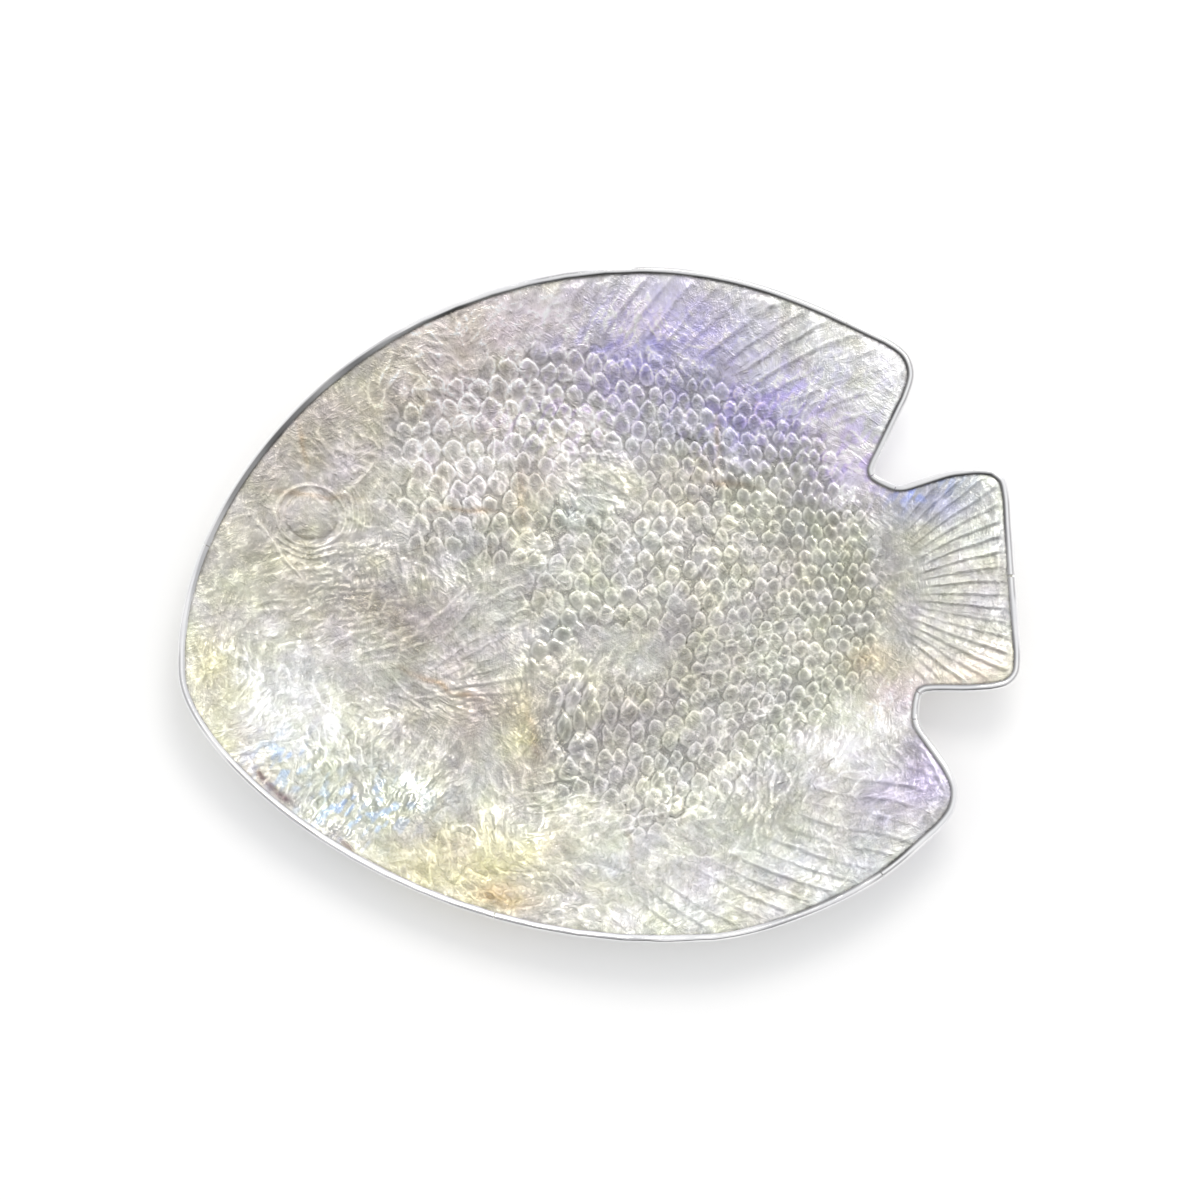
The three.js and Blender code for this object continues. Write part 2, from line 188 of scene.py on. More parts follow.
def cell_random(i, j, seed):
    """A repeatable number from 0 to 1 for each pair of whole numbers."""
    a = i.astype(np.int64).astype(np.uint64) * np.uint64(0x9E3779B97F4A7C15)
    b = j.astype(np.int64).astype(np.uint64) * np.uint64(0xC2B2AE3D27D4EB4F)
    n = a ^ (b + np.uint64(seed * 7919 + 17))
    n = (n ^ (n >> np.uint64(31))) * np.uint64(0xD6E8FEB86659FD93)
    n = (n ^ (n >> np.uint64(29))) * np.uint64(0xD6E8FEB86659FD93)
    return (n >> np.uint64(40)).astype(float) / float(1 << 24)


def noise(x, y, size, seed):
    """Smooth noise from 0 to 1 whose blobs are about one size across."""
    turn = 0.7 + 1.3 * seed
    u = (x * math.cos(turn) - y * math.sin(turn)) / size
    v = (x * math.sin(turn) + y * math.cos(turn)) / size
    i, j = np.floor(u), np.floor(v)
    s, t = fade(0.0, 1.0, u - i), fade(0.0, 1.0, v - j)
    low = cell_random(i, j, seed) * (1 - s) + cell_random(i + 1, j, seed) * s
    high = cell_random(i, j + 1, seed) * (1 - s) + cell_random(i + 1, j + 1, seed) * s
    return low * (1 - t) + high * t


def ridges(x, y, size, seed):
    """Narrow wandering crests, from 0 in the hollows to 1 on the crests."""
    warp_x = x + size * 0.9 * (noise(x, y, size * 1.6, seed + 5) - 0.5)
    warp_y = y + size * 0.9 * (noise(x, y, size * 1.6, seed + 6) - 0.5)
    return (1.0 - np.abs(2.0 * noise(warp_x, warp_y, size, seed) - 1.0)) ** 2.2


def crumple(x, y, size, seed):
    """Layered crests of crumpled foil, about -0.3 to 0.7."""
    total = 0.0
    weight = 1.0
    for octave in range(3):
        total = total + weight * (ridges(x, y, size, seed + 11 * octave) - 0.3)
        size *= 0.5
        weight *= 0.55
    return total / 1.85


def creases(x, y, size, seed):
    """Crumpled folds that are drawn out along a direction which changes from place to place."""
    total = np.zeros_like(x)
    weights = np.zeros_like(x)
    for k in range(4):
        angle = math.pi * k / 4.0 + 0.2
        along = (x * math.cos(angle) + y * math.sin(angle)) / FOLD_STRETCH
        across = y * math.cos(angle) - x * math.sin(angle)
        weight = noise(x, y, 19.0, seed + 7 * k + 3) ** 8
        total = total + weight * crumple(along, across, size, seed + 40 * k)
        weights = weights + weight
    return total / weights


# Relief of the face


def line_ridge(x, y, points, half_width):
    """A rounded crest along a line of points, tapering at both ends."""
    crest = np.zeros_like(x)
    for k in range(len(points) - 1):
        (ax, ay), (bx, by) = points[k], points[k + 1]
        length = math.hypot(bx - ax, by - ay)
        ux, uy = (bx - ax) / length, (by - ay) / length
        along = np.clip((x - ax) * ux + (y - ay) * uy, 0.0, length)
        off = np.hypot(x - ax - along * ux, y - ay - along * uy)
        start = 0.35 if k == 0 else 1.0
        end = 0.35 if k == len(points) - 2 else 1.0
        strength = start + (end - start) * along / length
        strength = np.maximum(strength, np.minimum(1.0, 3.0 * np.minimum(along, length - along) / length))
        crest = np.maximum(crest, strength * np.exp(-((off / half_width) ** 2)))
    return crest


def arc_ridge(x, y, centre, radius, angles, half_width, oval=1.0):
    """A rounded crest along an arc between two angles in degrees, fading at both ends."""
    dx, dy = x - centre[0], (y - centre[1]) / oval
    angle = np.degrees(np.arctan2(dy, dx))
    middle, half = (angles[0] + angles[1]) / 2.0, (angles[1] - angles[0]) / 2.0
    away = np.abs((angle - middle + 180.0) % 360.0 - 180.0)
    crest = np.exp(-(((np.hypot(dx, dy) - radius) / half_width) ** 2))
    return crest * (1.0 - fade(0.7 * half, half, away))


def ray_crests(position, x, y, seed):
    """Fin rays like roof tiles: position counts rays, and each one rises and then drops off sharply."""
    wobble = 0.4 * (noise(x, y, 18.0, seed) - 0.5) + 0.1 * (noise(x, y, 5.0, seed + 3) - 0.5)
    shifted = position + wobble
    index = np.floor(shifted)
    part = shifted - index
    strength = 0.45 + 0.75 * cell_random(index, np.zeros_like(index), seed + 1)
    main = 0.8 * (1.0 - (1.0 - part) ** 2) * (1.0 - fade(0.74, 1.0, part))
    main = main + 0.45 * np.exp(-(((part - 0.76) / 0.1) ** 2))
    main = main * strength * (0.45 + 0.9 * noise(x, y, 9.0, seed + 4))
    second = 0.22 * np.exp(-(((part - 0.4) / 0.12) ** 2)) * noise(x, y, 9.0, seed + 2)
    return main + second


def scale_cells(x, y):
    """Height of the scales, their painted light and a random number for each scale.

    The painted light is a painted highlight on a scale's upper outline, painted shade inside it and the
    darkest painted shade between scales.
    """
    behind = np.maximum(x - SCALE_TAPER_X, 0.0)
    shrink = np.clip(1.0 - SCALE_TAPER * behind / SCALE_PITCH, 0.35, 1.0)
    along = np.where(behind > 0.0, -np.log(shrink) / SCALE_TAPER, (x - SCALE_TAPER_X) / SCALE_PITCH)
    long_scales = np.exp(-(((x - LONG_SCALE_X) / 17.0) ** 2) - ((y - LONG_SCALE_Y) / 20.0) ** 2)
    tall = 1.0 + 0.28 * long_scales
    row_height = SCALE_PITCH * shrink * SCALE_STRETCH * ROW_RATIO
    across = (LONG_SCALE_Y + (y - LONG_SCALE_Y) / tall) / row_height
    for size, amount, seed in ((24.0, 0.6, 41), (7.0, 0.18, 46), (2.2, 0.14, 54)):
        along = along + amount * (noise(x, y, size, seed) - 0.5)
        across = across + amount * (noise(x, y, size, seed + 1) - 0.5)
    pointed = 0.4 + 0.4 * long_scales
    reach = np.full_like(x, 9.0)
    own = np.zeros_like(x)
    lift = np.zeros_like(x)
    row0 = np.round(across)
    for dr in (-1, 0, 1):
        row = row0 + dr
        stagger = 0.5 * np.mod(row, 2.0)
        column0 = np.round(along - stagger)
        for dc in (-1, 0, 1):
            column = column0 + dc
            dx = along - column - stagger - 0.28 * (cell_random(column, row, 43) - 0.5)
            dy = (across - row - 0.28 * (cell_random(column, row, 44) - 0.5)) * ROW_RATIO
            almond = np.abs(dx) / 0.5 + (dy / 0.612) ** 2
            disc = np.hypot(dx, dy) / 0.56
            distance = (disc + pointed * (almond - disc)) * (0.88 + 0.28 * cell_random(column, row, 48))
            closer = distance < reach
            own = np.where(closer, cell_random(column, row, 45), own)
            lift = np.where(closer, dy, lift)
            reach = np.where(closer, distance, reach)
    reach = np.clip(reach, 0.0, 1.0)
    # Raised outline on the upper side of each scale, also used below as a painted highlight
    outline = np.exp(-(((reach - 0.8) / 0.11) ** 2)) * fade(-0.3, 0.2, lift)
    height = (1.0 - reach**2.6) * (0.7 + 0.8 * lift) + 0.35 * outline
    # Painted shade inside each scale and, darkest, between scales
    inner = 1.0 - fade(0.3, 0.75, reach)
    between = fade(0.82, 1.0, reach)
    return height, outline - 0.8 * between - 0.35 * inner, own


def pectoral_fan(x, y):
    """Distance and angle from the root of the pectoral fin."""
    dx, dy = x - PECTORAL_X, y - PECTORAL_Y
    return np.hypot(dx, dy), np.degrees(np.arctan2(dy, dx))


def scale_area(x, y):
    """1 where the scales are full, fading to 0 towards the head, fins and tail."""
    share = bowl_share(x, y)
    wander = 12.0 * (noise(x, y, 13.0, 51) - 0.5) + 6.0 * (noise(x, y, 5.0, 52) - 0.5)
    share = share + 0.12 * (1.0 - fade(-48.0, -14.0, y)) * fade(-30.0, 20.0, x)
    area = fade(-64.0, -54.0, x + 0.5 * wander) * (1.0 - fade(0.75, 0.83, share + 0.003 * wander))
    area = area * (1.0 - fade(78.0, 92.0, x + 0.5 * wander))
    low_front = (1.0 - fade(-24.0, -12.0, x + wander)) * (1.0 - fade(14.0, 26.0, y + wander))
    area = area * (1.0 - low_front)
    belly = (1.0 - fade(-10.0, 14.0, x + wander)) * (1.0 - fade(-64.0, -46.0, y + wander))
    area = area * (1.0 - belly)
    for px, py, rx, ry in BARE_PATCHES:
        area = area * fade(0.7, 1.3, np.hypot((x - px) / rx, (y - py) / ry))
    return area


def fin_rays(x, y):
    """Ray crests of the dorsal, lower and tail fins, and how far a point lies inside a fin."""
    share, angle = bowl_share(x, y), bowl_angle(x, y)
    beyond_root = (share - FIN_ROOT_SHARE) / (FIN_EDGE_SHARE - FIN_ROOT_SHARE)
    in_fin = fade(0.79, 0.86, share + 0.03 * (noise(x, y, 6.0, 61) - 0.5)) * (1.0 - fade(88.0, 96.0, x))
    crests = np.zeros_like(x)
    area = np.zeros_like(x)
    rear, front = DORSAL_ANGLES
    dorsal = (front - angle - DORSAL_SWEEP * beyond_root) / (front - rear) * DORSAL_RAYS
    rear, front = ANAL_ANGLES
    sweep = np.interp(-angle, ANAL_ANGLES, ANAL_SWEEPS)
    anal = (sweep * beyond_root - angle - rear) / (front - rear) * ANAL_RAYS
    for position, rays, seed in ((dorsal, DORSAL_RAYS, 62), (anal, ANAL_RAYS, 66)):
        here = in_fin * fade(-1.5, 1.0, position) * (1.0 - fade(rays - 1.0, rays + 1.5, position))
        crests = crests + 0.8 * here * ray_crests(position, x, y, seed)
        area = np.maximum(area, here)
    reach = np.hypot(x - TAIL_X, y)
    tail_angle = np.degrees(np.arctan2(y, x - TAIL_X))
    position = (TAIL_HALF_ANGLE - tail_angle) / (2.0 * TAIL_HALF_ANGLE) * TAIL_RAYS
    here = fade(TAIL_ROOT, TAIL_ROOT + 8.0, reach + 4.0 * (noise(x, y, 5.0, 71) - 0.5))
    here = here * fade(92.0, 98.0, x)
    crests = crests + 1.15 * here * ray_crests(position, x, y, 72)
    return crests, np.maximum(area, here)


def pectoral_rays(x, y):
    radius, angle = pectoral_fan(x, y)
    low, high = PECTORAL_ANGLES
    position = (high - angle) / (high - low) * PECTORAL_RAYS
    root, tip = PECTORAL_REACH
    here = fade(root, root + 10.0, radius) * (1.0 - fade(tip - 14.0, tip, radius))
    here = here * fade(low - 6.0, low + 4.0, angle) * (1.0 - fade(high - 4.0, high + 6.0, angle))
    patchy = fade(0.35, 0.7, noise(x, y, 12.0, 81))
    return here * (0.35 + 0.65 * patchy) * ray_crests(position, x, y, 82)


def shaken(x, y, amount, seed):
    """Points moved a little by noise, so that drawn lines come out hand-made."""
    shift_x = amount * (noise(x, y, 6.0, seed) - 0.5)
    shift_y = amount * (noise(x, y, 6.0, seed + 1) - 0.5)
    return x + shift_x, y + shift_y


def eye_form(x, y):
    """Dome of the eye with its ring and the folds round it: height, and how far a point is on a fold."""
    dx, dy = x - EYE_X, (y - EYE_Y) / EYE_OVAL
    radius = np.hypot(dx, dy)
    dome = np.sqrt(np.clip(1.0 - (radius / EYE_RADIUS) ** 2, 0.0, 1.0))
    ring = np.exp(-(((radius - EYE_RING) / 0.6) ** 2))
    centre = (EYE_X, EYE_Y)
    folds = np.zeros_like(x)
    x, y = shaken(x, y, 2.6, 88)
    for reach, angles in NEAR_FOLDS:
        folds = np.maximum(folds, arc_ridge(x, y, centre, reach, angles, 0.5, EYE_OVAL))
    for reach, angles in FAR_FOLDS:
        folds = np.maximum(folds, 0.7 * arc_ridge(x, y, centre, reach, angles, 0.5))
    height = EYE_HEIGHT * dome + EYE_FOLD_HEIGHT * ring + EYE_FOLD_HEIGHT * folds
    return height, np.maximum(folds, ring)


# Creased lines of the cheek, brow and pectoral fin: points and strength
CREASE_LINES = (
    (((-103.5, 36.5), (-96.0, 25.0), (-87.4, 14.0)), 1.6),
    (((-83.3, 20.0), (-70.2, 13.2)), 1.2),
    (((-76.0, 41.5), (-61.2, 53.2)), 1.2),
    (((-74.6, 61.5), (-72.2, 54.0), (-70.8, 45.5)), 1.0),
    (((-80.0, 57.5), (-71.6, 53.4), (-60.9, 52.6)), 1.0),
    (((-80.5, 60.5), (-76.8, 55.0), (-75.4, 48.0)), 0.9),
    (((-69.0, 60.0), (-70.0, 52.0), (-75.8, 46.0)), 0.9),
    (((-55.8, -1.3), (-39.7, 11.3)), 1.5),
    (((-33.0, 0.1), (-18.8, 3.6)), 1.2),
    (((-45.9, -19.2), (-34.3, -9.9)), 1.2),
    (((-41.0, -6.7), (-31.6, -1.9)), 1.2),
)


def crease_lines(x, y):
    shaken_x, shaken_y = shaken(x, y, 2.4, 85)
    crest = np.zeros_like(x)
    for points, strength in CREASE_LINES:
        crest = np.maximum(crest, strength * line_ridge(shaken_x, shaken_y, points, 0.7))
    return crest * (0.4 + 0.8 * noise(x, y, 5.0, 87))


def wrinkle_arcs(x, y):
    """Fine folds that run round the front of the jaw and under the throat."""
    crest = np.zeros_like(x)
    for centre, rings, seed in WRINKLES:
        dx, dy = x - centre[0], y - centre[1]
        radius, angle = np.hypot(dx, dy), np.arctan2(dy, dx)
        here = fade(rings[0] - 6.0, rings[0] + 4.0, radius)
        here = here * (1.0 - fade(rings[1] - 10.0, rings[1] + 4.0, radius))
        swirl = radius + 5.0 * (noise(x, y, 15.0, seed + 3) - 0.5)
        swirl = swirl + 2.0 * (noise(x, y, 5.0, seed + 4) - 0.5)
        crest = crest + here * (ridges(swirl * 2.0, angle * 14.0, 5.0, seed) - 0.5)
    return crest


def rough_area(x, y):
    """1 on the crumpled jaw, throat and belly, less elsewhere."""
    low = 1.0 - fade(-34.0, -8.0, y + 0.25 * x + 18.0)
    front = 1.0 - fade(-20.0, 24.0, x)
    rim_side = fade(0.55, 0.85, bowl_share(x, y))
    rear = np.exp(-(((x - 62.0) / 32.0) ** 2) - ((y + 54.0 - 0.35 * (x - 62.0)) / 11.0) ** 2)
    return np.maximum(low * front * (0.45 + 0.55 * rim_side), 0.8 * rear)


def relief(x, y):
    """Height of the face above its plain surface, and its painted light: a painted highlight on crests
    and painted shade in hollows.
    """
    scales = scale_area(x, y)
    pillow, scale_painted_light, own = scale_cells(x, y)
    rays, fins = fin_rays(x, y)
    breast = pectoral_rays(x, y)
    rough = rough_area(x, y)
    head = (1.0 - fade(-66.0, -52.0, x)) * (1.0 - rough)
    eye_clear = 0.7 + 0.3 * fade(9.0, 13.0, np.hypot(x - EYE_X, y - EYE_Y))
    coarse = creases(x, y, 6.0, 1)
    fine = creases(x, y, 2.1, 2)
    scaled = scales * (0.55 + 0.45 * own + 0.3 * noise(x, y, 11.0, 53)) * pillow
    lines = crease_lines(x, y)
    eye, eye_folds = eye_form(x, y)
    height = SCALE_HEIGHT * scaled + RAY_HEIGHT * rays + PECTORAL_HEIGHT * breast + eye
    height = height + CREASE_HEIGHT * lines
    gill = arc_ridge(x, y, (GILL_X - GILL_RADIUS, GILL_Y), GILL_RADIUS, (-20, 24), 1.0)
    height = height + GILL_HEIGHT * gill * fade(0.4, 0.7, noise(x, y, 9.0, 3))
    height = height + eye_clear * (0.15 + 0.1 * rough) * wrinkle_arcs(x, y)
    patchy = 0.5 + noise(x, y, 17.0, 4)
    coarse_share = 0.26 + 0.06 * head - 0.04 * rough - 0.14 * fins
    fine_share = 0.5 + 0.06 * head + 0.34 * rough - 0.2 * fins - 0.12 * scales
    height = height + eye_clear * patchy * (coarse_share * coarse + fine_share * fine)
    # Painted light: a painted highlight on the crests of scales, rays, creases, eye folds and folds,
    # brightest as painted glints on the highest fine crests, and painted shade in the hollows
    painted_light = 0.9 * scales * scale_painted_light + 0.45 * rays + 0.5 * breast + 0.8 * lines + 0.4 * coarse
    painted_light = painted_light + 0.4 * eye_folds + 0.9 * fine + 0.5 * fade(0.25, 0.5, fine)
    return height, painted_light


# Colours


def srgb(colour):
    """Linear light of an sRGB colour given as 0 to 255."""
    c = np.array(colour, float) / 255.0
    return np.where(c <= 0.04045, c / 12.92, ((c + 0.055) / 1.055) ** 2.4)


# Colour washes of the pearl: place, reach and sRGB colour, with a strength. Besides the shell's own
# patches they hold painted light: some are lighter along the back and darker on the lower front only to
# even out how the lamp falls, the white patches on the chin and the lower rear are painted glare, and the
# violet along the back is painted sheen.
PEARL = (204, 204, 194)
WASHES = (
    ((-86, 60), (34, 24), (191, 183, 175), 0.8),
    ((-54, 72), (16, 10), (206, 194, 168), 0.6),
    ((-98, 26), (16, 20), (202, 196, 176), 0.6),
    ((-112, -18), (11, 18), (212, 203, 158), 0.85),
    ((-104, -42), (10, 12), (214, 204, 174), 0.7),
    ((-96, -24), (16, 20), (232, 238, 234), 0.8),
    ((-67, -55), (26, 13), (168, 173, 164), 0.85),
    ((-42, -74), (26, 12), (219, 212, 163), 0.85),
    ((-36, 52), (22, 16), (242, 236, 230), 0.75),
    ((-73, 11), (16, 16), (160, 154, 148), 0.8),
    ((-52, 2), (18, 14), (166, 152, 142), 0.65),
    ((-39, -26), (24, 15), (164, 152, 142), 0.7),
    ((-32, 6), (20, 16), (168, 169, 163), 0.65),
    ((-24, -38), (6, 14), (196, 186, 140), 0.6),
    ((-20, 38), (8, 18), (216, 207, 182), 0.55),
    ((-20, 62), (18, 10), (252, 245, 242), 0.8),
    ((-20, 84), (30, 14), (238, 226, 220), 0.95),
    ((-44, 84), (14, 12), (244, 232, 226), 0.7),
    ((22, 82), (27, 15), (220, 212, 255), 0.95),
    ((56, 58), (24, 12), (202, 196, 240), 0.85),
    ((82, 38), (12, 12), (246, 236, 255), 0.95),
    ((92, 66), (19, 17), (243, 242, 243), 0.9),
    ((52, 8), (26, 22), (210, 208, 194), 0.65),
    ((-3, 33), (13, 11), (160, 163, 161), 0.75),
    ((4, -4), (18, 10), (188, 188, 180), 0.5),
    ((30, -14), (16, 12), (166, 163, 154), 0.7),
    ((28, 38), (14, 10), (182, 176, 160), 0.6),
    ((84, -12), (12, 14), (204, 198, 182), 0.5),
    ((106, 24), (14, 7), (172, 177, 200), 0.75),
    ((112, -4), (15, 15), (205, 206, 205), 0.75),
    ((112, -28), (14, 6), (228, 213, 195), 0.8),
    ((84, -23), (6, 5), (236, 214, 174), 0.55),
    ((92, -38), (9, 9), (248, 230, 224), 0.9),
    ((84, -68), (14, 10), (190, 182, 200), 0.7),
    ((76, -48), (17, 10), (255, 255, 254), 0.95),
    ((96, -59), (11, 11), (182, 174, 206), 0.9),
    ((60, -82), (34, 12), (206, 208, 208), 0.75),
    ((20, -78), (26, 16), (210, 212, 209), 0.75),
    ((8, -34), (26, 16), (178, 175, 167), 0.6),
    ((0, -60), (16, 9), (222, 222, 208), 0.6),
    ((-36, -86), (8, 4), (222, 186, 120), 0.6),
)

# Thin stains along some joints and inside the rim: points, half width, strength and sRGB colour
RESIN_STAIN = (168, 142, 108)
DARK_STAIN = (88, 58, 58)
STAINS = (
    (((-99.0, 43.0), (-70.0, 40.0)), 1.1, 0.5, RESIN_STAIN),
    (((-86.0, 66.0), (-85.0, 46.0)), 1.1, 0.6, RESIN_STAIN),
    (((-52.0, 36.0), (-24.0, 33.5)), 1.1, 0.6, RESIN_STAIN),
    (((-21.0, 54.0), (-20.0, 22.0)), 1.1, 0.35, RESIN_STAIN),
    (((42.0, 62.0), (40.0, 40.0)), 1.1, 0.6, RESIN_STAIN),
    (((31.0, 39.0), (52.0, 35.0)), 1.1, 0.5, RESIN_STAIN),
    (((-61.0, -12.0), (-47.5, -20.0), (-38.0, -24.0)), 1.0, 0.8, RESIN_STAIN),
    (((-24.0, -24.0), (-20.0, -46.0)), 1.4, 0.4, RESIN_STAIN),
    (((20.0, -52.0), (21.0, -66.0)), 1.1, 0.4, RESIN_STAIN),
    (((4.0, -62.0), (6.0, -84.0)), 1.1, 0.3, RESIN_STAIN),
    (((-106.6, -41.6), (-101.8, -47.0), (-96.0, -54.0)), 1.3, 0.85, DARK_STAIN),
    (((-85.0, -63.0), (-76.6, -69.6)), 0.9, 0.8, DARK_STAIN),
)

# Streaky glints of blue and rose sheen: place, reach and sRGB colour
GLINTS = (
    ((-97.0, -40.0), (10.0, 8.0), (178, 202, 238)),
    ((-76.0, -56.0), (16.0, 9.0), (172, 198, 238)),
    ((100.0, 30.0), (10.0, 6.0), (150, 170, 240)),
    ((56.0, 58.0), (26.0, 12.0), (200, 186, 252)),
    ((80.0, 40.0), (12.0, 10.0), (216, 196, 255)),
    ((20.0, 80.0), (24.0, 12.0), (200, 192, 255)),
    ((-6.0, 62.0), (20.0, 10.0), (224, 206, 242)),
)


def pearl_tint(x, y, painted_light, level):
    """Colour of the shell at each point, in linear light, with painted light laid in: washes that hold
    painted glare and sheen, painted glints, and a painted highlight on crests with painted shade in
    hollows.
    """
    shift_x = 9.0 * (noise(x, y, 20.0, 101) - 0.5) + 4.0 * (noise(x, y, 6.0, 102) - 0.5)
    shift_y = 9.0 * (noise(x, y, 20.0, 103) - 0.5) + 4.0 * (noise(x, y, 6.0, 104) - 0.5)
    colour = np.tile(srgb(PEARL), (len(x), 1))
    for (px, py), (rx, ry), wash, strength in WASHES:
        small = min(1.0, rx / 12.0)
        away = np.hypot((x + small * shift_x - px) / rx, (y + small * shift_y - py) / ry)
        weight = strength * np.exp(-(away**2) * 0.9)
        colour = colour + weight[:, None] * (srgb(wash) - colour)
    streak = fade(0.5, 0.8, noise(0.6 * x + 0.8 * y, 2.2 * (0.6 * y - 0.8 * x), 2.8, 113))
    for (px, py), (rx, ry), glint in GLINTS:
        weight = 0.8 * streak * np.exp(-(((x - px) / rx) ** 2) - ((y - py) / ry) ** 2)
        colour = colour + weight[:, None] * (srgb(glint) - colour)
    for points, half_width, strength, stain in STAINS:
        wander = 1.6 * (noise(x, y, 5.0, 111) - 0.5)
        weight = line_ridge(x + wander, y + wander, points, half_width) * (0.3 + noise(x, y, 4.0, 112))
        colour = colour + (strength * np.clip(weight, 0, 1))[:, None] * (srgb(stain) - colour)
    warm = noise(x, y, 7.0, 121) + 0.5 * noise(x, y, 2.4, 122) - 0.75
    rosy = noise(x, y, 9.0, 123) + 0.5 * noise(x, y, 3.0, 124) - 0.75
    hue = np.stack([0.04 * warm + 0.03 * rosy, 0.05 * warm - 0.03 * rosy, 0.02 * rosy - 0.13 * warm], 1)
    colour = colour * (1.0 + hue)
    mottle = 0.92 + 0.16 * noise(x, y, 5.0, 125)
    # Leaf level and random mottle, times a painted highlight on crests and painted shade in hollows
    shade = level * mottle * (1.0 + PAINTED_LIGHT_GAIN * np.clip(painted_light - PAINTED_LIGHT_MIDDLE, *PAINTED_LIGHT_RANGE))
    return np.clip(colour * shade[:, None], 0.0, 1.0)


# Outlines and meshes


def plan_loop(node):
    """Outline of a leaf from above, counter-clockwise, taken from the border of its underside."""
    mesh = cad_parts[node].data
    spots = np.array([vertex.co for vertex in mesh.vertices]) / MM
    unique, merged = np.unique(np.round(spots, 2), axis=0, return_inverse=True)
    merged = merged.reshape(-1)
    border = set()
    for face in mesh.polygons:
        if face.normal.z > -0.5:
            continue
        corners = [int(merged[index]) for index in face.vertices]
        for a, b in zip(corners, corners[1:] + corners[:1]):
            if (b, a) in border:
                border.remove((b, a))
            elif a != b:
                border.add((a, b))
    before = {b: a for a, b in border}
    start = min(before)
    loop = [start]
    while before[loop[-1]] != start:
        loop.append(before[loop[-1]])
    return unique[loop][:, :2]


def resample(loop, step):
    """Points along a closed loop, no further apart than step and without very short hops."""
    points = []
    for a, b in zip(loop, np.roll(loop, -1, axis=0)):
        count = max(1, math.ceil(np.linalg.norm(b - a) / step))
        for k in range(count):
            point = a + (b - a) * k / count
            if not points or np.linalg.norm(point - points[-1]) > 0.4 * step:
                points.append(point)
    if np.linalg.norm(points[0] - points[-1]) < 0.4 * step:
        points.pop()
    return np.array(points)


def grow(loop, distance):
    """Moves a counter-clockwise loop outward."""
    ahead = np.roll(loop, -1, axis=0) - loop
    ahead /= np.linalg.norm(ahead, axis=1)[:, None]
    behind = np.roll(ahead, 1, axis=0)
    along = ahead + behind
    along /= np.linalg.norm(along, axis=1)[:, None]
    stretch = np.maximum(0.5, (along * ahead).sum(1))
    return loop + distance * np.stack([along[:, 1], -along[:, 0]], 1) / stretch[:, None]


def nearest_distance(points, targets):
    best = np.full(len(points), np.inf)
    for block in np.array_split(targets, max(1, len(targets) // 80)):
        gap = ((points[:, None, :] - block[None, :, :]) ** 2).sum(2).min(1)
        best = np.minimum(best, gap)
    return np.sqrt(best)


def inside(points, loop):
    """True for points inside a closed loop."""
    odd = np.zeros(len(points), bool)
    px, py = points[:, 0], points[:, 1]
    for (ax, ay), (bx, by) in zip(loop, np.roll(loop, -1, axis=0)):
        if ay == by:
            continue
        crosses = (ay > py) != (by > py)
        odd ^= crosses & (px < ax + (py - ay) * (bx - ax) / (by - ay))
    return odd


def fill(loop, step):
    """Triangles that fill a loop: its own points come first, then a staggered grid."""
    low, high = loop.min(0), loop.max(0)
    rows = np.arange(low[1], high[1], step * ROW_RATIO)
    grid = []
    for k, row in enumerate(rows):
        columns = np.arange(low[0] + 0.5 * step * (k % 2), high[0], step)
        grid.append(np.stack([columns, np.full_like(columns, row)], 1))
    grid = np.concatenate(grid)
    grid = grid[inside(grid, loop)]
    grid = grid[nearest_distance(grid, loop) > 0.6 * step]
    points = np.concatenate([loop, grid])
    count = len(loop)
    sides = [(k, (k + 1) % count) for k in range(count)]
    made = delaunay_2d_cdt([Vector(point) for point in points], sides, [], 1, 1e-6)
    spots = np.array([tuple(vertex) for vertex in made[0]])
    if len(spots) != len(points):
        raise ValueError(f"a leaf outline crosses itself: {len(spots)} points from {len(points)}")
    return spots, [tuple(face) for face in made[2]]


def new_piece(name, spots, faces, material, smooth_angle):
    mesh = bpy.data.meshes.new(name)
    mesh.from_pydata((spots * MM).tolist(), [], faces)
    mesh.validate()
    mesh.shade_smooth()
    mesh.set_sharp_from_angle(angle=math.radians(smooth_angle))
    mesh.materials.append(material)
    piece = bpy.data.objects.new(name, mesh)
    bpy.context.scene.collection.objects.link(piece)
    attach(piece, "root")
    return piece


def paint(piece, colours):
    """Stores one colour for each point of a mesh."""
    layer = piece.data.color_attributes.new("Tint", "FLOAT_COLOR", "POINT")
    flat = np.concatenate([colours, np.ones((len(colours), 1))], 1)
    layer.data.foreach_set("color", flat.astype(np.float32).ravel())


def skin(loop, step, height_at):
    """Filled outline lifted to a height function: points and faces."""
    spots, faces = fill(loop, step)
    return np.column_stack([spots, height_at(spots[:, 0], spots[:, 1])]), faces


def sheet_solid(top, bottom, count):
    """A closed sheet from two skins whose first points, count of them, follow the same outline."""
    shift = len(top[0])
    faces = list(top[1])
    faces += [tuple(shift + index for index in reversed(face)) for face in bottom[1]]
    for k in range(count):
        after = (k + 1) % count
        faces.append((shift + k, shift + after, after, k))
    return np.concatenate([top[0], bottom[0]]), faces


def corners_of(loop):
    """Points of a closed loop where it turns, with two more on each long straight run."""
    ahead = np.roll(loop, -1, axis=0) - loop
    heading = np.arctan2(ahead[:, 1], ahead[:, 0])
    turn = np.angle(np.exp(1j * (heading - np.roll(heading, 1))))
    corners = loop[np.abs(turn) > LEAST_TURN]
    points = []
    for here, there in zip(corners, np.roll(corners, -1, axis=0)):
        points.append(here)
        if np.linalg.norm(there - here) > STRAIGHT_RUN:
            points += [here + 0.2 * (there - here), here + 0.8 * (there - here)]
    return np.array(points)


